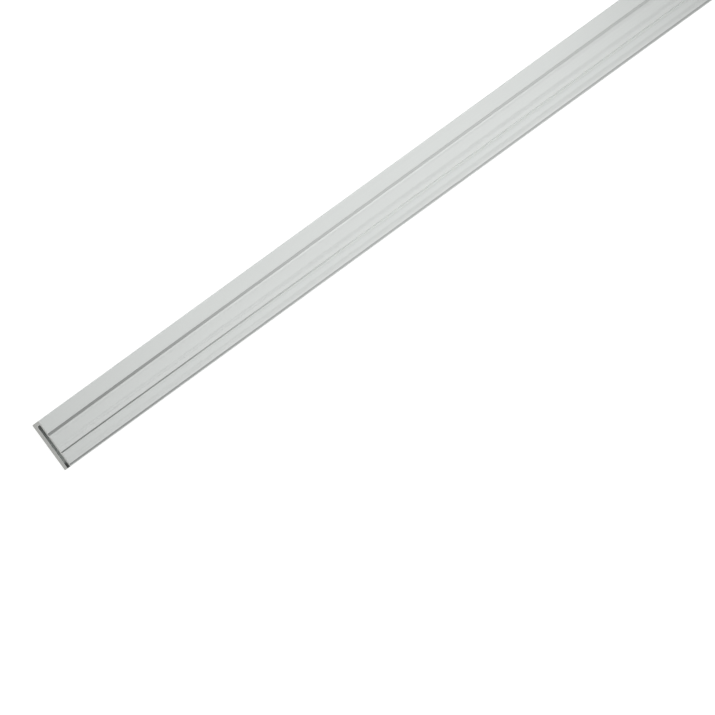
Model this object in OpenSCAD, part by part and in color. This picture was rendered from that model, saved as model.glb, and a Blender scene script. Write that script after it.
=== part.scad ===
// Aluminium extrusion: a flat channel that lies on its thick flange, closed along
// one long edge and open along the other, with fine lines run along its face.
// X runs along the bar, +Y towards its closed side, Z up. The origin is at the
// middle of the underside. The section is drawn in a plane of its own, with x
// from the closed side to the slot's mouth, and y up.

/* [Bar] */
// Length that the bar is sawn to
bar_length = 1000; // [300:10:3000]
// Width across the face, from the closed side to the slot's mouth
face_width = 40; // [34:0.5:80]

/* [Walls] */
// Height of the slot between the two flanges
slot_height = 4.4; // [4.2:0.1:16]
// Thickness of the flange that carries the face
face_wall = 1.8; // [1.2:0.1:3]
// Thickness of the flange that the bar lies on
base_wall = 4.8; // [1:0.1:8]
// Thickness of the web along the closed side
web_wall = 3; // [1.5:0.1:4]

/* [Corners] */
// Radius of the two outer corners at the closed side
web_round = 0.8; // [0.3:0.1:1.4]
// Radius of the fillets in the slot, against the web
slot_fillet = 1; // [0.3:0.1:2]
// Radius of the lower flange's tip
tip_round = 0.4; // [0.2:0.05:0.45]

/* [Shadow line] */
// From the closed side to the steep wall of the shadow line
shadow_offset = 11.5; // [6:0.1:16]
// Width of the shadow line's floor
shadow_width = 1.7; // [0.6:0.1:2]
// Depth of the shadow line's floor below the face
shadow_depth = 0.9; // [0.65:0.05:1]
// Length over which the face curves down into the shadow line
shoulder_length = 3; // [1:0.1:4]
// Drop of that curved shoulder
shoulder_drop = 0.5; // [0.1:0.05:0.6]

/* [Marking line] */
// From the slot's mouth to the middle of the marking line
marking_offset = 11.8; // [8:0.1:16]
// Width of the marking line at the face
marking_width = 1.2; // [0.6:0.1:2]
// Depth of the marking line
marking_depth = 0.8; // [0.2:0.05:0.9]

/* [Flutes] */
// Number of shallow flutes beside the slot's mouth
flute_count = 3; // [1:1:3]
// From the slot's mouth to the middle of the first flute
flute_offset = 4.9; // [4.4:0.1:8]
// Distance from flute to flute
flute_pitch = 5.7; // [4.5:0.1:6]
// Width of a flute
flute_width = 2.6; // [2:0.1:4.4]
// Depth of a flute
flute_depth = 0.1; // [0.03:0.01:0.3]

/* [Lip] */
// Width of the lip at the slot's mouth
lip_width = 0.8; // [0.7:0.1:2]
// How far the lip's top is set below the face
lip_drop = 0.2; // [0.05:0.05:0.3]
// Radius of the lip's outer edge
lip_round = 0.5; // [0.3:0.05:0.65]
// Width of the groove behind the lip
lip_groove_width = 1.2; // [0.3:0.1:1.2]
// Depth of the groove behind the lip, below the face
lip_groove_depth = 0.7; // [0.4:0.05:0.7]
// Length of the lead-in under the lip
lead_in_length = 3; // [1:0.1:5]
// Rise of the lead-in under the lip
lead_in_rise = 0.4; // [0.1:0.05:0.5]

/* [Hidden] */
$fn = 96;
section_height = base_wall + slot_height + face_wall;
mouth = face_width;
slot_top = base_wall + slot_height;
shoulder_start = shadow_offset + shadow_width;
shoulder_end = shoulder_start + shoulder_length;
lip_start = mouth - lip_width;
lip_top = section_height - lip_drop;
over = 1; // how far a cutter stands past the surface that it cuts

// What a quarter round of radius r leaves of a corner that points to -X -Y.
module corner_off(r) {
    difference() {
        translate([-over, -over]) square(r + over);
        translate([r, r]) circle(r);
    }
}

// The slot, from its filleted end at the web to past the mouth.
module slot() {
    translate([web_wall, base_wall]) difference() {
        square([face_width - web_wall + over, slot_height]);
        corner_off(slot_fillet);
        translate([0, slot_height]) mirror([0, 1]) corner_off(slot_fillet);
    }
}

// The wedge that lets a panel's edge find its way under the lip.
module lead_in() {
    translate([mouth, slot_top]) polygon([
        [-lead_in_length, 0],
        [0, lead_in_rise],
        [over, lead_in_rise],
        [over, -over],
        [-lead_in_length, -over],
    ]);
}

// The shadow line: a steep wall, a flat floor, and a shoulder that curves up to the face.
module shadow_line() {
    shoulder_radius = (pow(shoulder_length, 2) + pow(shoulder_drop, 2)) / (2 * shoulder_drop);
    translate([shadow_offset, section_height - shadow_depth])
        square([shadow_width, shadow_depth + over]);
    difference() {
        translate([shoulder_start, section_height - shoulder_drop])
            square([shoulder_length, shoulder_drop + over]);
        translate([shoulder_end, section_height - shoulder_radius]) circle(shoulder_radius, $fn = 256);
    }
}

// The V that a drill's point or a scriber follows.
module marking_line() {
    translate([mouth - marking_offset, section_height]) polygon([
        [0, -marking_depth],
        [marking_width / 2, 0],
        [marking_width / 2, over],
        [-marking_width / 2, over],
        [-marking_width / 2, 0],
    ]);
}

// Shallow flutes, counted from the mouth.
module flutes() {
    flute_radius = (pow(flute_width / 2, 2) + pow(flute_depth, 2)) / (2 * flute_depth);
    for (i = [0 : flute_count - 1])
        translate([mouth - flute_offset - i * flute_pitch, section_height + flute_radius - flute_depth])
            circle(flute_radius, $fn = 256);
}

// The groove that sets the lip off from the face, and the drop of the lip's top.
module lip_groove() {
    translate([lip_start - lip_groove_width, section_height - lip_groove_depth])
        square([lip_groove_width, lip_groove_depth + over]);
    translate([lip_start, lip_top]) square([lip_width + over, lip_drop + over]);
}

// The rounded outer corners of the section.
module outer_rounds() {
    corner_off(web_round);
    translate([0, section_height]) mirror([0, 1]) corner_off(web_round);
    translate([mouth, lip_top]) rotate(180) corner_off(lip_round);
    translate([mouth, 0]) mirror([1, 0]) corner_off(tip_round);
    translate([mouth, base_wall]) rotate(180) corner_off(tip_round);
}

module section() {
    difference() {
        square([face_width, section_height]);
        slot();
        lead_in();
        shadow_line();
        marking_line();
        flutes();
        lip_groove();
        outer_rounds();
    }
}

module profile() {
    color("silver")
        translate([bar_length / 2, face_width / 2, 0])
            rotate([90, 0, -90])
                linear_extrude(height = bar_length) section();
}

profile();
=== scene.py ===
"""An aluminium extrusion: a flat channel with a slot along one side and fine lines along its face."""

import math

import bpy
from mathutils import Matrix, Vector


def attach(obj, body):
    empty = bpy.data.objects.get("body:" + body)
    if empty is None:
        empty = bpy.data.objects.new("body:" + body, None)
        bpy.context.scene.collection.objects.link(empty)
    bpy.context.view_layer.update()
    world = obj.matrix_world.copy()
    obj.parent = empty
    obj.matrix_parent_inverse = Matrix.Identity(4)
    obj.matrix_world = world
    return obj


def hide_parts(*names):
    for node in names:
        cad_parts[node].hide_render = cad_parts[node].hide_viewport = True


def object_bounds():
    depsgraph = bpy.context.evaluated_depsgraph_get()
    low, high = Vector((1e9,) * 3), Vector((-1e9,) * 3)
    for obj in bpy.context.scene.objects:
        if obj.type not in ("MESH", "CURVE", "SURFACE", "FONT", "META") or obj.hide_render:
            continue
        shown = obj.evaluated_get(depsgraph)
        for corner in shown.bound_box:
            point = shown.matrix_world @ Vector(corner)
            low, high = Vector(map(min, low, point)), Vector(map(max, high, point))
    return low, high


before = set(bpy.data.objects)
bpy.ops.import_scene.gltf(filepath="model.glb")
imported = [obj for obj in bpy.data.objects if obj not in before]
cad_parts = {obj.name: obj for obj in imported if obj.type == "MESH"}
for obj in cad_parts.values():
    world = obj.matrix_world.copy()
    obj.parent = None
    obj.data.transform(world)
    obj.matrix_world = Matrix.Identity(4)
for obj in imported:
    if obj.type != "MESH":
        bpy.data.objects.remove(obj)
CAD_LOW, CAD_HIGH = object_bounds()
CAD_SIZE = CAD_HIGH - CAD_LOW

bl_info = {
    "name": "Aluminium Extrusion Profile",
    "version": (1, 0, 0),
    "blender": (4, 5, 0),
    "location": "3D View > Sidebar > Profile",
    "description": "Builds a channel-shaped aluminium extrusion and a plain studio round it",
    "category": "Object",
}

NODE = "profile"
BODY = "root"
MM = 0.001

# The map that an export bakes through. The skin fills its lower part, and the ends lie side by side above.
BAKE_MAP = "OFBake"
SKIN_SHARE = 0.9
END_LEFTS = (0.01, 0.51)
END_LOW = 0.915
END_WIDTH = 0.48
END_HEIGHT = 0.08

HOLD_ROOM = 0.06 * MM  # from the end of a round to the point that keeps its shading off a flat
SHORTEST_HELD = 6 * HOLD_ROOM  # a flat no longer than this has no such points
SHARP_ANGLE = math.radians(32)
ONE_POINT = 1e-7  # points of the outline nearer than this are one
ONE_SEAM = 2e-6  # so are points of the skin and of an end
FLOOR_GAP = 0.1 * MM  # keeps the floor clear of the underside
METAL = {"Metallic": 1.0}
NOISE_ROUGHNESS = 0.6

# Soft boxes: where each hangs, what it faces, and its size along the bar and across it.
OVERHEAD_BOX = ((0.125, 0, 0.6), (-0.22, 0, 0), (0.6, 0.14))
SIDE_BOX = ((0.22, 0.45, 0.65), (-0.15, 0, 0), (0.5, 0.3))


# ---------------------------------------------------------------- sizes and colours


def length(name, description, default):
    """A size in metres, shown to a hundredth of a millimetre."""
    return bpy.props.FloatProperty(
        name=name, description=description, default=default, min=0, precision=5, unit="LENGTH"
    )


def colour(name, description, default):
    """A colour, as red, green and blue."""
    return bpy.props.FloatVectorProperty(
        name=name, description=description, default=default, size=3, min=0, max=1, subtype="COLOR"
    )


def share(name, description, default):
    """A part of the whole, from 0 to 1."""
    return bpy.props.FloatProperty(name=name, description=description, default=default, min=0, max=1)


def pair(name, description, default):
    """A painted shade at a sawn end and one halfway along. Below 0, it is painted light."""
    return bpy.props.FloatVectorProperty(
        name=name, description=description, default=default, size=2, min=-1, max=1
    )


def amount(name, description, default):
    """A number with no upper limit, such as a lamp's power."""
    return bpy.props.FloatProperty(name=name, description=description, default=default, min=0)


class ProfileSizes(bpy.types.PropertyGroup):
    """The section, from the closed side to the slot's mouth, and the bar's length."""

    bar_length: length("Bar length", "From one sawn end to the other", CAD_SIZE.x)
    face_width: length("Face width", "From the closed side to the slot's mouth", CAD_SIZE.y)
    height: length("Height", "From the underside to the face", CAD_SIZE.z)
    face_wall: length("Face wall", "Thickness of the flange that carries the face", 1.8 * MM)
    base_wall: length("Base wall", "Thickness of the flange that the bar lies on", 4.8 * MM)
    web_wall: length("Web wall", "Thickness of the web along the closed side", 3 * MM)
    web_round: length("Web round", "Radius of the outer corners at the closed side", 0.8 * MM)
    slot_fillet: length("Slot fillet", "Radius of the fillets in the slot", 1 * MM)
    tip_round: length("Tip round", "Radius of the lower flange's tip", 0.4 * MM)
    shadow_offset: length("Shadow line offset", "From the closed side to its steep wall", 11.5 * MM)
    shadow_width: length("Shadow line width", "Width of its floor", 1.7 * MM)
    shadow_depth: length("Shadow line depth", "Depth of its floor below the face", 0.9 * MM)
    shoulder_length: length("Shoulder length", "Over which the face curves down to it", 3 * MM)
    shoulder_drop: length("Shoulder drop", "Drop of that curve", 0.5 * MM)
    marking_offset: length("Marking line offset", "From the mouth to its middle", 11.8 * MM)
    marking_width: length("Marking line width", "Width at the face", 1.2 * MM)
    marking_depth: length("Marking line depth", "Depth of the V", 0.8 * MM)
    flute_count: bpy.props.IntProperty(name="Flutes", description="How many", default=3, min=1)
    flute_offset: length("Flute offset", "From the mouth to the middle of the first", 4.9 * MM)
    flute_pitch: length("Flute pitch", "From one to the next", 5.7 * MM)
    flute_width: length("Flute width", "Width of one", 2.6 * MM)
    flute_depth: length("Flute depth", "Depth of one", 0.1 * MM)
    lip_width: length("Lip width", "Width of the lip at the mouth", 0.8 * MM)
    lip_drop: length("Lip drop", "How far its top is set below the face", 0.2 * MM)
    lip_round: length("Lip round", "Radius of the lip's outer edge", 0.5 * MM)
    lip_groove_width: length("Lip groove width", "Width of the groove behind the lip", 1.2 * MM)
    lip_groove_depth: length("Lip groove depth", "Depth of the groove behind the lip", 0.7 * MM)
    lead_in_length: length("Lead-in length", "Length of the slope under the lip", 3 * MM)
    lead_in_rise: length("Lead-in rise", "Rise of the slope under the lip", 0.4 * MM)
    die_round: length("Die round", "Radius that a die leaves on a sharp edge", 0.14 * MM)
    edge_break: length("Edge break", "Chamfer that deburring leaves round a sawn end", 0.16 * MM)
    corner_steps: bpy.props.IntProperty(
        name="Corner steps", description="Points that round each corner", default=6, min=1
    )
    bays: bpy.props.IntProperty(
        name="Bays", description="Stretches that the skin is cut into", default=10, min=1
    )


class FinishColours(bpy.types.PropertyGroup):
    """The colours and the gloss of the metal, and the shade painted into its lines, flutes and slot."""

    metal: colour("Anodised metal", "The satin anodised skin", (0.79, 0.812, 0.797))
    bare: colour("Bare metal", "Where a saw has cut it", (0.415, 0.419, 0.403))
    burnished: colour("Burnished metal", "Where deburring has rubbed an edge", (0.85, 0.85, 0.84))
    # Painted shade along the middle of each flute, away from the sawn ends.
    flute_painted_shade: share("Flute loss", "How much darker a flute's middle is halfway along", 0.06)
    roughness: share("Roughness", "Of the anodised skin", 0.38)
    bare_roughness: share("Bare roughness", "Of a sawn end", 0.5)
    # Painted shade in the three lines of the face, at a sawn end and halfway along. The marking line's
    # halfway value below 0 is painted light.
    shadow_line_painted_shade: pair("Shadow line loss", "How much darker its floor is", (0.52, 0.22))
    marking_painted_shade_and_light: pair("Marking line loss", "How much darker the V is", (0.5, -0.1))
    lip_groove_painted_shade: pair("Lip groove loss", "How much darker the groove behind the lip is", (0.5, 0.33))
    # Over this reach the painted shade in the lines goes from its value at a sawn end to its value halfway.
    end_reach: length("End reach", "From a sawn end to where a line looks as it does halfway", 350 * MM)
    # Painted shade inside the slot, more of it beside the web, where less light reaches.
    slot_painted_shade: share("Slot loss", "How much darker the skin is inside the slot", 0.05)
    web_painted_shade: share("Web loss", "How much darker still it is beside the web", 0.25)
    # Painted shade at the slot's mouth near a sawn end, where no light comes in from that side.
    mouth_end_painted_shade: share("Mouth end loss", "How much darker the slot's mouth is at a sawn end", 0.8)
    mouth_end_reach: length("Mouth end reach", "How far that dark mouth runs from a sawn end", 8 * MM)
    slot_roughness: share("Slot roughness", "How much rougher the skin is inside the slot", 0.2)
    burnished_roughness: share("Burnished roughness", "Of the deburred edge", 0.34)


class StudioSettings(bpy.types.PropertyGroup):
    """The floor, the lamps and the camera."""

    floor_colour: colour("Floor colour", "Of the plain floor, which also glows", (0.5, 0.5, 0.5))
    sky_colour: colour("Sky colour", "The light from all round", (1.0, 1.0, 1.0))
    sky_high: amount("Sky overhead", "How bright it is overhead", 0.485)
    sky_low: amount("Sky low down", "How bright it is at the horizon", 0.9)
    sky_rise: share("Sky rise", "How far up the sky changes, as a share of its height", 0.45)
    floor_glow: amount("Floor glow", "How brightly the floor glows", 0.8)
    over_power: amount("Overhead lamp", "Watts of the soft box that the face reflects", 0.23)
    side_power: amount("Side lamps", "Watts of each soft box that the grooves reflect", 0.58)
    floor_size: length("Floor size", "Side of the square floor", 12)
    elevation: bpy.props.FloatProperty(
        name="Elevation",
        description="Of the camera above the floor",
        default=math.radians(60),
        unit="ROTATION",
    )
    lean: bpy.props.FloatProperty(
        name="Lean",
        description="Of the bar in the picture, above the horizontal",
        default=math.radians(36.096),
        unit="ROTATION",
    )
    lens: amount("Lens", "Focal length in millimetres", 1500)
    picture_width: length("Picture width", "What the picture takes in at the bar", 0.5129)
    aim_along: length("Aim along", "From the near end to where the camera looks", 0.2433)
    aim_beside: length("Aim beside", "From the middle of the bar to where the camera looks", 0.0777)


# ---------------------------------------------------------------- node graphs


class Term:
    """A socket that takes part in a sum as a number does. Each operation adds a Math node."""

    def __init__(self, graph, socket):
        self.graph = graph
        self.socket = socket

    def __add__(self, other):
        return self.graph.maths("ADD", self, other)

    def __sub__(self, other):
        return self.graph.maths("SUBTRACT", self, other)

    def __rsub__(self, other):
        return self.graph.maths("SUBTRACT", other, self)

    def __mul__(self, other):
        return self.graph.maths("MULTIPLY", self, other)

    def __truediv__(self, other):
        return self.graph.maths("DIVIDE", self, other)

    def __mod__(self, other):
        return self.graph.maths("FLOORED_MODULO", self, other)

    def __lt__(self, other):
        return self.graph.maths("LESS_THAN", self, other)

    def __gt__(self, other):
        return self.graph.maths("GREATER_THAN", self, other)

    __radd__ = __add__
    __rmul__ = __mul__


class Graph:
    """Builds the nodes of a shader or a geometry tree."""

    def __init__(self, tree):
        self.tree = tree
        self.tree.nodes.clear()

    def add(self, kind, settings=None, values=None):
        """A new node: its settings are set first, then its sockets get their values or links."""
        node = self.tree.nodes.new(kind)
        for name, value in (settings or {}).items():
            setattr(node, name, value)
        for name, value in (values or {}).items():
            socket = self.find(node.inputs, name)
            if isinstance(value, Term):
                self.link(value, socket)
            else:
                socket.default_value = value
        return node

    def get(self, kind, settings=None, values=None, output=0):
        """The same, when what is wanted is one of the new node's outputs."""
        node = self.add(kind, settings, values)
        return Term(self, self.find(node.outputs, output))

    def maths(self, operation, *terms):
        return self.get("ShaderNodeMath", {"operation": operation}, dict(enumerate(terms)))

    @staticmethod
    def find(sockets, name):
        """A socket by its place or its name. Of several with one name, the one in use."""
        if isinstance(name, int):
            return sockets[name]
        return next(s for s in sockets if s.name == name and s.enabled)

    def link(self, source, socket):
        self.tree.links.new(source.socket, socket)

    def vector(self, x=0.0, y=0.0, z=0.0):
        """Three numbers or terms, joined into a vector."""
        return self.get("ShaderNodeCombineXYZ", None, {"X": x, "Y": y, "Z": z})

    def parts(self, vector):
        """A vector's three parts, as terms."""
        split = self.add("ShaderNodeSeparateXYZ", None, {"Vector": vector})
        return [Term(self, split.outputs[axis]) for axis in "XYZ"]

    def vectors(self, operation, values, output="Vector"):
        """One step of vector maths. values gives its sockets by their places or names."""
        return self.get("ShaderNodeVectorMath", {"operation": operation}, values, output)


# ---------------------------------------------------------------- the section


def flute_stations(sizes, middle, steps=12):
    """Places across one flute, from the mouth's side on."""
    half = sizes.flute_width / 2
    return [middle + half * math.cos(math.pi * i / steps) for i in range(steps + 1)]


def flute_height(sizes, s, middle):
    """How far a flute goes below the face at s, as a number below 0."""
    half, depth = sizes.flute_width / 2, sizes.flute_depth
    radius = (half**2 + depth**2) / (2 * depth)
    if abs(s - middle) >= half:
        return 0
    return radius - depth - math.sqrt(radius**2 - (s - middle) ** 2)


def shoulder_height(sizes, s):
    """How far the face has curved down on its way to the shadow line, as a number below 0."""
    start = sizes.shadow_offset + sizes.shadow_width
    radius = (sizes.shoulder_length**2 + sizes.shoulder_drop**2) / (2 * sizes.shoulder_drop)
    before_end = start + sizes.shoulder_length - s
    if before_end <= 0 or s < start:
        return 0
    return math.sqrt(radius**2 - before_end**2) - radius


def face_line(sizes):
    """Corners of the face from the lip to the closed side, as (s, height, radius)."""
    mouth, top, die = sizes.face_width, sizes.height, sizes.die_round
    first = mouth - sizes.flute_offset
    middles = [first - i * sizes.flute_pitch for i in range(sizes.flute_count)]
    shoulder = sizes.shadow_offset + sizes.shadow_width

    def height(s):
        return top + sum(flute_height(sizes, s, m) for m in middles) + shoulder_height(sizes, s)

    lip = mouth - sizes.lip_width
    groove = lip - sizes.lip_groove_width
    marking = mouth - sizes.marking_offset
    mark_high = marking + sizes.marking_width / 2
    mark_low = marking - sizes.marking_width / 2
    cuts = [
        [
            (lip, top - sizes.lip_drop, die),
            (lip, top - sizes.lip_groove_depth, die),
            (groove, top - sizes.lip_groove_depth, die),
            (groove, top, die),
        ],
        [
            (mark_high, height(mark_high), die),
            (marking, top - sizes.marking_depth, die),
            (mark_low, height(mark_low), die),
        ],
        [
            (shoulder, height(shoulder), die),
            (shoulder, top - sizes.shadow_depth, die),
            (sizes.shadow_offset, top - sizes.shadow_depth, die),
            (sizes.shadow_offset, top, die),
        ],
    ]
    clear = 1.5 * die  # room that a cut's own rounds take beside it
    shoulder_steps = 10
    stations = [s for m in middles for s in flute_stations(sizes, m)]
    stations += [
        shoulder + sizes.shoulder_length * i / shoulder_steps for i in range(1, shoulder_steps + 1)
    ]
    face = [
        [(s, height(s), 0)]
        for s in stations
        if all(not cut[-1][0] - clear < s < cut[0][0] + clear for cut in cuts)
    ]
    stretches = sorted(cuts + face, key=lambda corners: -corners[0][0])
    return [corner for corners in stretches for corner in corners]


def section_corners(sizes):
    """The outline, anticlockwise, as (s, height, radius). s runs from the closed side to the mouth."""
    mouth, top = sizes.face_width, sizes.height
    slot_top = top - sizes.face_wall
    return [
        (0, 0, sizes.web_round),
        (mouth, 0, sizes.tip_round),
        (mouth, sizes.base_wall, sizes.tip_round),
        (sizes.web_wall, sizes.base_wall, sizes.slot_fillet),
        (sizes.web_wall, slot_top, sizes.slot_fillet),
        (mouth - sizes.lead_in_length, slot_top, sizes.lip_round),
        (mouth, slot_top + sizes.lead_in_rise, sizes.die_round),
        (mouth, top - sizes.lip_drop, sizes.lip_round),
        *face_line(sizes),
        (0, top, sizes.web_round),
    ]


def held(corners):
    """Adds a point just inside each end of a flat, so that the smooth shading of a round keeps off it."""
    count = len(corners)
    places = [Vector(corner[:2]) for corner in corners]
    reach = []  # how much of each side a corner's round takes
    for i, (_, _, radius) in enumerate(corners):
        before, after = places[i - 1] - places[i], places[(i + 1) % count] - places[i]
        reach.append(radius * math.tan((math.pi - before.angle(after)) / 2))
    points = []
    for i, corner in enumerate(corners):
        points.append(corner)
        j = (i + 1) % count
        side = places[j] - places[i]
        way = side.normalized()
        if side.length - reach[i] - reach[j] > SHORTEST_HELD:
            points.append((*(places[i] + way * (reach[i] + HOLD_ROOM)), 0))
            points.append((*(places[j] - way * (reach[j] + HOLD_ROOM)), 0))
    return points


def section_mesh(sizes):
    """The outline's corners as a closed ring of edges, each with the radius that rounds it."""
    corners = held(section_corners(sizes))
    count = len(corners)
    mesh = bpy.data.meshes.new("section")
    mesh.from_pydata(
        [(s, height, 0) for s, height, _ in corners],
        [(i, (i + 1) % count) for i in range(count)],
        [],
    )
    rounds = mesh.attributes.new("round", "FLOAT", "POINT")
    rounds.data.foreach_set("value", [radius for _, _, radius in corners])
    return mesh


# ---------------------------------------------------------------- the sweep


def new_tree(name, inputs):
    """A geometry tree with named inputs, given as (name, socket type, default)."""
    tree = bpy.data.node_groups.new(name, "GeometryNodeTree")
    tree.interface.new_socket("Geometry", in_out="INPUT", socket_type="NodeSocketGeometry")
    tree.interface.new_socket("Geometry", in_out="OUTPUT", socket_type="NodeSocketGeometry")
    for title, kind, default in inputs:
        socket = tree.interface.new_socket(title, in_out="INPUT", socket_type=kind)
        if default is not None:
            socket.default_value = default
    return tree


def rounded_outline(g, given):
    """The outline with its corners rounded, and at each point the way inwards and how far round it is."""
    rough = g.get("GeometryNodeMeshToCurve", None, {"Mesh": given["Geometry"]})
    radius = g.get("GeometryNodeInputNamedAttribute", {"data_type": "FLOAT"}, {"Name": "round"}, "Attribute")
    outline = g.get(
        "GeometryNodeFilletCurve",
        {"mode": "POLY"},
        {"Curve": rough, "Radius": radius, "Count": given["Corner Steps"], "Limit Radius": True},
    )
    outline = g.get("GeometryNodeCurveToMesh", None, {"Curve": outline})
    outline = g.get("GeometryNodeMergeByDistance", None, {"Geometry": outline, "Distance": ONE_POINT})
    outline = g.get("GeometryNodeMeshToCurve", None, {"Mesh": outline})
    inward = g.vectors("CROSS_PRODUCT", {0: (0, 0, 1), 1: g.get("GeometryNodeInputTangent")})
    run = g.get("GeometryNodeSplineParameter", None, None, "Factor")
    captured = g.add("GeometryNodeCaptureAttribute", {"domain": "POINT"}, {"Geometry": outline})
    for kind, name, field in (("VECTOR", "Inward", inward), ("FLOAT", "Run", run)):
        captured.capture_items.new(kind, name)
        g.link(field, captured.inputs[name])
    return [Term(g, captured.outputs[name]) for name in ("Geometry", "Inward", "Run")]


def mapped(g, geometry, across, up):
    """Stores where each corner lies in the map that an export bakes through."""
    return g.get(
        "GeometryNodeStoreNamedAttribute",
        {"data_type": "FLOAT2", "domain": "CORNER"},
        {"Geometry": geometry, "Name": BAKE_MAP, "Value": g.vector(across, up)},
    )


def swept_skin(g, given, outline, inward, run):
    """A grid wrapped round the bar, with a row for each ring and a column for each station of the outline."""
    bar_length, edge_break, bays = given["Length"], given["Edge Break"], given["Bays"]
    stations = g.get("GeometryNodeAttributeDomainSize", {"component": "CURVE"}, {0: outline}, "Point Count")
    grid = g.get(
        "GeometryNodeMeshGrid",
        None,
        {"Size X": 1.0, "Size Y": 1.0, "Vertices X": bays + 3, "Vertices Y": stations + 1},
        "Mesh",
    )
    ring = g.maths("FLOOR", (g.get("GeometryNodeInputIndex") + 0.5) / (stations + 1))
    station = g.get("GeometryNodeInputIndex") - ring * (stations + 1)

    def sampled(field, kind):
        """The field's value at this station. The last station is the first one again."""
        return g.get(
            "GeometryNodeSampleIndex",
            {"data_type": kind, "domain": "POINT"},
            {"Geometry": outline, "Value": field, "Index": g.maths("ROUND", station % stations)},
            "Value",
        )

    first, last = ring < 0.5, ring > bays + 1.5
    at_end = first + last
    shrink = g.vector(at_end * edge_break, at_end * edge_break)
    place = sampled(g.get("GeometryNodeInputPosition"), "FLOAT_VECTOR")
    s, up, _ = g.parts(g.vectors("MULTIPLY_ADD", {0: sampled(inward, "FLOAT_VECTOR"), 1: shrink, 2: place}))
    along = (bar_length - edge_break * 2) * ((ring - 1) / bays - 0.5)
    along = along * (1 - at_end) + bar_length * 0.5 * (last - first)
    skin = g.get(
        "GeometryNodeSetPosition",
        None,
        {"Geometry": grid, "Position": g.vector(along, given["Width"] * 0.5 - s, up)},
    )
    # The last station has gone right round, where the outline's own share starts again at 0.
    gone = sampled(run, "FLOAT") + (station > stations - 0.5)
    return mapped(g, skin, along / bar_length + 0.5, gone * SKIN_SHARE)


def closed_end(g, given, flat, sign, left):
    """One sawn end: the flat section, stood up at that end of the bar."""
    s, up, _ = g.parts(g.get("GeometryNodeInputPosition"))
    width, height = given["Width"], given["Height"]
    end = mapped(g, flat, s / width * END_WIDTH + left, up / height * END_HEIGHT + END_LOW)
    place = g.vector(given["Length"] * (sign * 0.5), width * 0.5 - s, up)
    end = g.get("GeometryNodeSetPosition", None, {"Geometry": end, "Position": place})
    if sign < 0:
        end = g.get("GeometryNodeFlipFaces", None, {"Mesh": end})
    return end


def sweep_tree():
    """Rounds a section's corners, sweeps it along X, breaks the edges of its ends and closes them."""
    tree = new_tree(
        "Sweep Section",
        [
            ("Length", "NodeSocketFloat", 1.0),
            ("Width", "NodeSocketFloat", 0.04),
            ("Height", "NodeSocketFloat", 0.011),
            ("Edge Break", "NodeSocketFloat", 0.0002),
            ("Corner Steps", "NodeSocketInt", 6),
            ("Bays", "NodeSocketInt", 10),
            ("Skin", "NodeSocketMaterial", None),
            ("Burnished", "NodeSocketMaterial", None),
            ("Sawn", "NodeSocketMaterial", None),
        ],
    )
    g = Graph(tree)
    given = {socket.name: Term(g, socket) for socket in g.add("NodeGroupInput").outputs}
    edge_break = given["Edge Break"]
    outline, inward, run = rounded_outline(g, given)

    pulled = g.vectors("SCALE", {"Vector": inward, "Scale": edge_break})
    rim = g.get("GeometryNodeSetPosition", None, {"Geometry": outline, "Offset": pulled})
    flat = g.get("GeometryNodeFillCurve", {"mode": "TRIANGLES"}, {"Curve": rim})
    joined = g.add("GeometryNodeJoinGeometry")
    g.link(swept_skin(g, given, outline, inward, run), joined.inputs[0])
    for sign, left in zip((-1, 1), END_LEFTS):
        g.link(closed_end(g, given, flat, sign, left), joined.inputs[0])
    whole = g.get(
        "GeometryNodeMergeByDistance", None, {"Geometry": Term(g, joined.outputs[0]), "Distance": ONE_SEAM}
    )

    # Smooth over the rounds, and sharp at the edge breaks.
    angle = g.get("GeometryNodeInputMeshEdgeAngle", None, None, "Unsigned Angle")
    whole = g.get(
        "GeometryNodeStoreNamedAttribute",
        {"data_type": "BOOLEAN", "domain": "EDGE"},
        {"Geometry": whole, "Name": "sharp_edge", "Value": angle > SHARP_ANGLE},
    )
    whole = g.get("GeometryNodeSetShadeSmooth", None, {"Geometry": whole, "Shade Smooth": True})
    whole = g.get("GeometryNodeRealizeInstances", None, {"Geometry": whole})

    # Skin all over, then the edge breaks and what lies past them, then the flat ends alone.
    from_middle = g.maths("ABSOLUTE", g.parts(g.get("GeometryNodeInputPosition"))[0])
    half = given["Length"] * 0.5
    chosen = (
        ("Skin", True),
        ("Burnished", from_middle > half - edge_break),
        ("Sawn", from_middle > half - edge_break / 4),
    )
    for name, faces in chosen:
        whole = g.get(
            "GeometryNodeSetMaterial", None, {"Geometry": whole, "Selection": faces, "Material": given[name]}
        )
    g.add("NodeGroupOutput", None, {0: whole})
    return tree


def built_by(tree, name, mesh, values):
    """Runs a tree on a mesh and returns what it makes as a plain object, with no modifier left."""
    source = bpy.data.objects.new(name + "_source", mesh)
    bpy.context.scene.collection.objects.link(source)
    modifier = source.modifiers.new(tree.name, "NODES")
    modifier.node_group = tree
    identifiers = {
        item.name: item.identifier for item in tree.interface.items_tree if item.in_out == "INPUT"
    }
    for title, value in values.items():
        modifier[identifiers[title]] = value
    depsgraph = bpy.context.evaluated_depsgraph_get()
    made = bpy.data.meshes.new_from_object(
        source.evaluated_get(depsgraph), preserve_all_data_layers=True, depsgraph=depsgraph
    )
    made.name = name
    bpy.data.objects.remove(source)
    piece = bpy.data.objects.new(name, made)
    bpy.context.scene.collection.objects.link(piece)
    return piece


# ---------------------------------------------------------------- the materials


def object_place(g):
    """The object's own coordinates, as a vector and as its three parts."""
    place = g.get("ShaderNodeTexCoord", None, None, "Object")
    return place, g.parts(place)


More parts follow.
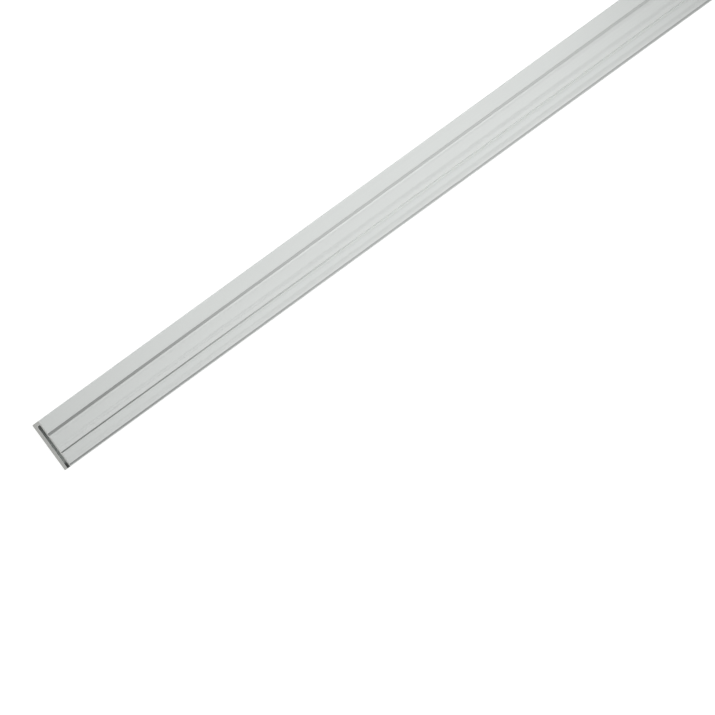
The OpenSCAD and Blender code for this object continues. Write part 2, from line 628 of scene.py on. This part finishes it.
def streaks(g, place, along, across, detail, seed):
    """Noise drawn out along the bar. along and across are its wavelengths in metres."""
    stretched = g.vectors("MULTIPLY", {0: place, 1: (1 / along, 1 / across, 1 / across)})
    return g.get(
        "ShaderNodeTexNoise",
        {"noise_dimensions": "4D"},
        {"Vector": stretched, "W": seed, "Scale": 1.0, "Detail": detail, "Roughness": NOISE_ROUGHNESS},
        "Fac",
    )


def swung(base, *noises):
    """A base value that noises move up and down. Each is given with how far it swings from end to end."""
    for noise, swing in noises:
        base = base + (noise - 0.5) * swing
    return base


def tinted(g, colour, shade):
    """A colour, darker where the shade is below 1 and lighter where it is above."""
    return g.vectors("MULTIPLY", {0: tuple(colour), 1: g.vector(shade, shade, shade)})


def bumped(g, height, distance):
    """A normal that follows a height from 0 to 1, where 1 stands that far out in metres."""
    return g.get(
        "ShaderNodeBump", None, {"Strength": 1.0, "Distance": distance, "Height": height}, "Normal"
    )


def new_material(name, constants):
    """A material with a Principled shader, and the graph that it is built in."""
    material = bpy.data.materials.new(name)
    material.use_nodes = True
    g = Graph(material.node_tree)
    shader = g.add("ShaderNodeBsdfPrincipled", None, constants)
    g.add("ShaderNodeOutputMaterial", None, {"Surface": Term(g, shader.outputs["BSDF"])})
    return material, g, shader


def feed(g, shader, values):
    """Links what varies over the surface to the shader's sockets."""
    for name, value in values.items():
        g.link(value, shader.inputs[name])


def ramp(g, value, start, end):
    """0 up to start, then a smooth rise to 1 at end."""
    return g.get(
        "ShaderNodeMapRange",
        {"interpolation_type": "SMOOTHSTEP"},
        {"Value": value, "From Min": start, "From Max": end},
        "Result",
    )


def groove_painted_shade(g, sizes, finish, y, z, near_end):
    """Painted shade in the lines cut into the face, strongest at their bottoms, where less light reaches."""
    half = sizes.face_width / 2
    depth = sizes.height - z
    lines = (
        (half - sizes.shadow_offset, finish.shadow_line_painted_shade),
        (sizes.marking_offset - half, finish.marking_painted_shade_and_light),
        (sizes.lip_width + sizes.lip_groove_width / 2 - half, finish.lip_groove_painted_shade),
    )
    spread = sizes.shadow_width * 1.5  # either side of a line's middle, and short of the next line
    loss = 0.0
    for middle, (at_end, halfway) in lines:
        on_line = g.maths("COMPARE", y, middle, spread)
        loss = loss + on_line * (halfway + near_end * (at_end - halfway))
    over_slot = depth < sizes.face_wall * 0.8
    behind_lip = y > sizes.lip_width - half
    return behind_lip * over_slot * ramp(g, depth, sizes.flute_depth, sizes.marking_depth * 0.8) * loss


def flute_share(g, sizes, y, z):
    """1 along the middle of each flute, falling to 0 past its edges: where shade is painted into the flutes.
    """
    fade = sizes.flute_width * 0.7
    total = 0.0
    for i in range(sizes.flute_count):
        middle = sizes.flute_offset + i * sizes.flute_pitch - sizes.face_width / 2
        total = total + (1 - ramp(g, g.maths("ABSOLUTE", y - middle), 0, fade))
    return total * (z > sizes.height - sizes.flute_depth * 1.5)


def end_share(g, sizes, x, reach):
    """1 at a sawn end, falling to 0 at a distance from it."""
    half = sizes.bar_length / 2
    return ramp(g, g.maths("ABSOLUTE", x), half - reach, half)


def slot_share(g, sizes, y, z):
    """1 on the walls of the slot and 0 elsewhere."""
    near = 0.05 * MM
    low, high = sizes.base_wall, sizes.height - sizes.face_wall + sizes.lead_in_rise
    return (z > low - near) * (z < high + near) * (y < sizes.face_width / 2 - sizes.web_wall / 2)


def slot_painted_shade(g, sizes, finish, x, y):
    """Painted shade in the slot: more beside the web, and most at its mouth near a sawn end."""
    half = sizes.face_width / 2
    at_web = ramp(g, y, 0, half - sizes.web_wall)
    # Painted shade at the slot's mouth near each sawn end.
    at_mouth = ramp(g, 0 - y, half - sizes.lead_in_length * 2, half - sizes.lead_in_length)
    at_corner = at_mouth * end_share(g, sizes, x, finish.mouth_end_reach)
    return finish.slot_painted_shade + at_web * finish.web_painted_shade + at_corner * finish.mouth_end_painted_shade


def skin_material(sizes, finish):
    """Satin anodised metal with the die's lines along it, and shade painted into its grooves, flutes and
    slot.
    """
    material, g, shader = new_material("satin_anodised", METAL)
    place, (x, y, z) = object_place(g)
    broad = streaks(g, place, along=1.1, across=6 * MM, detail=2, seed=3.0)
    lines = streaks(g, place, along=0.35, across=0.9 * MM, detail=3, seed=7.0)
    fine = streaks(g, place, along=0.06, across=0.22 * MM, detail=2, seed=11.0)
    grain = streaks(g, place, along=0.5 * MM, across=0.3 * MM, detail=2, seed=17.0)
    near_end = end_share(g, sizes, x, finish.end_reach)
    in_slot = slot_share(g, sizes, y, z)
    shade = swung(1, (broad, 0.05), (lines, 0.06), (grain, 0.03))
    # Painted shade in the lines of the face, deepest at a sawn end, and painted light halfway along the
    # marking line.
    shade = shade * (1 - groove_painted_shade(g, sizes, finish, y, z, near_end))
    # Painted shade in the flutes, fading out towards a sawn end.
    shade = shade * (1 - flute_share(g, sizes, y, z) * (1 - near_end) * finish.flute_painted_shade)
    # Painted shade on the walls of the slot.
    shade = shade * (1 - in_slot * slot_painted_shade(g, sizes, finish, x, y))
    rough = swung(finish.roughness, (lines, 0.1), (fine, 0.06)) + in_slot * finish.slot_roughness
    bump = bumped(g, lines * 0.6 + fine * 0.25 + grain * 0.15, 0.01 * MM)
    feed(g, shader, {"Base Color": tinted(g, finish.metal, shade), "Roughness": rough, "Normal": bump})
    return material


def sawn_material(finish):
    """Bare metal with the arcs that a saw's teeth leave."""
    material, g, shader = new_material("sawn_end", METAL)
    place, (_, y, z) = object_place(g)
    hub_y, hub_z, tooth_mark = 70 * MM, 110 * MM, 0.35 * MM
    from_hub = g.vectors("LENGTH", {0: g.vector(0.0, y - hub_y, z - hub_z)}, "Value")
    arcs = g.get(
        "ShaderNodeTexNoise",
        {"noise_dimensions": "1D"},
        {"W": from_hub / tooth_mark, "Scale": 1.0, "Detail": 3.0, "Roughness": NOISE_ROUGHNESS},
        "Fac",
    )
    grain = streaks(g, place, along=0.3 * MM, across=0.3 * MM, detail=2, seed=23.0)
    shade = swung(1, (arcs, 0.2), (grain, 0.1))
    rough = swung(finish.bare_roughness, (arcs, 0.2))
    bump = bumped(g, arcs * 0.8 + grain * 0.2, 0.02 * MM)
    feed(g, shader, {"Base Color": tinted(g, finish.bare, shade), "Roughness": rough, "Normal": bump})
    return material


def burnished_material(finish):
    """Bright bare metal where a sawn end has been deburred."""
    material, g, shader = new_material("burnished_edge", METAL)
    place, _ = object_place(g)
    nicks = streaks(g, place, along=0.4 * MM, across=0.4 * MM, detail=3, seed=29.0)
    rough = swung(finish.burnished_roughness, (nicks, 0.2))
    shade = swung(1, (nicks, 0.2))
    feed(g, shader, {"Base Color": tinted(g, finish.burnished, shade), "Roughness": rough})
    return material


def floor_material(studio):
    """A matt floor that glows, so that no shadow shows on it."""
    constants = {
        "Metallic": 0.0,
        "Roughness": 0.9,
        "Specular IOR Level": 0.1,
        "Emission Color": (1, 1, 1, 1),
        "Emission Strength": studio.floor_glow,
    }
    material, g, shader = new_material("plain_floor", constants)
    place, _ = object_place(g)
    mottle = streaks(g, place, along=0.4, across=0.4, detail=3, seed=31.0)
    feed(g, shader, {"Base Color": tinted(g, studio.floor_colour, swung(1, (mottle, 0.01)))})
    return material


# ---------------------------------------------------------------- the stage


def sky_world(studio):
    """Soft light from all round, brighter towards the horizon."""
    world = bpy.data.worlds.new("studio")
    world.use_nodes = True
    g = Graph(world.node_tree)
    up = g.parts(g.get("ShaderNodeTexCoord", None, None, "Generated"))[2]
    strength = g.get(
        "ShaderNodeMapRange",
        {"interpolation_type": "SMOOTHSTEP"},
        {"Value": up, "From Max": studio.sky_rise, "To Min": studio.sky_low, "To Max": studio.sky_high},
        "Result",
    )
    sky = g.get("ShaderNodeBackground", None, {"Color": (*studio.sky_colour, 1), "Strength": strength})
    g.add("ShaderNodeOutputWorld", None, {"Surface": sky})
    return world


def stood(place, right, upward, back):
    """Where something stands and how it is turned, from its own three axes."""
    return Matrix.Translation(place) @ Matrix((right, upward, back)).transposed().to_4x4()


def add_floor(studio):
    half = studio.floor_size / 2
    mesh = bpy.data.meshes.new("floor")
    corners = ((-half, -half), (half, -half), (half, half), (-half, half))
    mesh.from_pydata([(x, y, -FLOOR_GAP) for x, y in corners], [], [(0, 1, 2, 3)])
    mesh.materials.append(floor_material(studio))
    floor = bpy.data.objects.new("floor", mesh)
    bpy.context.scene.collection.objects.link(floor)


def add_lamp(name, box, power, side=1):
    """A soft box. With side -1 it hangs on the other side of the bar."""
    (x, y, z), target, size = box
    place = Vector((x, y * side, z))
    light = bpy.data.lights.new(name, "AREA")
    light.shape = "RECTANGLE"
    light.size, light.size_y = size
    light.energy = power
    lamp = bpy.data.objects.new(name, light)
    bpy.context.scene.collection.objects.link(lamp)
    back = (place - Vector(target)).normalized()
    across = back.cross(Vector((1, 0, 0))).normalized()
    lamp.matrix_world = stood(place, across.cross(back), across, back)


def add_camera(sizes, studio):
    """A long lens beyond the near end, turned so that the bar leans across the picture."""
    data = bpy.data.cameras.new("camera")
    data.lens = studio.lens
    camera = bpy.data.objects.new("camera", data)
    bpy.context.scene.collection.objects.link(camera)
    away = studio.picture_width * data.lens / data.sensor_width
    high, lean = studio.elevation, studio.lean
    back = Vector((-math.cos(high), 0, math.sin(high)))
    bar_way = Vector((math.sin(high), 0, math.cos(high)))  # the bar's direction, as the picture shows it
    beside = Vector((0, -1, 0))
    right = bar_way * math.cos(lean) + beside * math.sin(lean)
    upward = bar_way * math.sin(lean) - beside * math.cos(lean)
    target = Vector((studio.aim_along - sizes.bar_length / 2, -studio.aim_beside, sizes.height))
    camera.matrix_world = stood(target + back * away, right, upward, back)
    data.clip_start, data.clip_end = away / 10, away * 3
    bpy.context.scene.camera = camera


# ---------------------------------------------------------------- operators


class PROFILE_OT_add_bar(bpy.types.Operator):
    """Add the extruded bar, swept from its section and sawn at both ends"""

    bl_idname = "profile.add_bar"
    bl_label = "Add Bar"

    def execute(self, context):
        sizes, finish = context.scene.profile_sizes, context.scene.profile_finish
        bar = built_by(
            sweep_tree(),
            "profile_bar",
            section_mesh(sizes),
            {
                "Length": sizes.bar_length,
                "Width": sizes.face_width,
                "Height": sizes.height,
                "Edge Break": sizes.edge_break,
                "Corner Steps": sizes.corner_steps,
                "Bays": sizes.bays,
                "Skin": skin_material(sizes, finish),
                "Sawn": sawn_material(finish),
                "Burnished": burnished_material(finish),
            },
        )
        if len(bar.data.polygons) == 0:
            raise RuntimeError("the sweep made no faces")
        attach(bar, BODY)
        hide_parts(NODE)
        return {"FINISHED"}


class PROFILE_OT_add_stage(bpy.types.Operator):
    """Add the plain floor, the soft lamps and the camera"""

    bl_idname = "profile.add_stage"
    bl_label = "Add Stage"

    def execute(self, context):
        scene = context.scene
        sizes, studio = scene.profile_sizes, scene.profile_studio
        scene.view_settings.view_transform = "Standard"
        scene.world = sky_world(studio)
        add_floor(studio)
        add_lamp("overhead", OVERHEAD_BOX, studio.over_power)
        for side in (-1, 1):
            add_lamp(f"side_{side}", SIDE_BOX, studio.side_power, side)
        add_camera(sizes, studio)
        return {"FINISHED"}


class PROFILE_PT_panel(bpy.types.Panel):
    """The sizes, the colours and the steps that build the bar"""

    bl_idname = "PROFILE_PT_panel"
    bl_label = "Extrusion Profile"
    bl_space_type = "VIEW_3D"
    bl_region_type = "UI"
    bl_category = "Profile"

    def draw(self, context):
        for operator in OPERATORS:
            self.layout.operator(operator.bl_idname)
        for name in SETTINGS:
            box = self.layout.box()
            group = getattr(context.scene, name)
            for item in group.bl_rna.properties.keys():
                if item not in ("name", "rna_type"):
                    box.prop(group, item)


SETTINGS = {
    "profile_sizes": ProfileSizes,
    "profile_finish": FinishColours,
    "profile_studio": StudioSettings,
}
OPERATORS = (PROFILE_OT_add_bar, PROFILE_OT_add_stage)
CLASSES = (*SETTINGS.values(), *OPERATORS, PROFILE_PT_panel)


def register():
    for cls in CLASSES:
        bpy.utils.register_class(cls)
    for name, group in SETTINGS.items():
        setattr(bpy.types.Scene, name, bpy.props.PointerProperty(type=group))


def unregister():
    for name in SETTINGS:
        delattr(bpy.types.Scene, name)
    for cls in reversed(CLASSES):
        bpy.utils.unregister_class(cls)


def main():
    register()
    bpy.ops.profile.add_bar()
    bpy.ops.profile.add_stage()


if __name__ == "__main__":
    main()
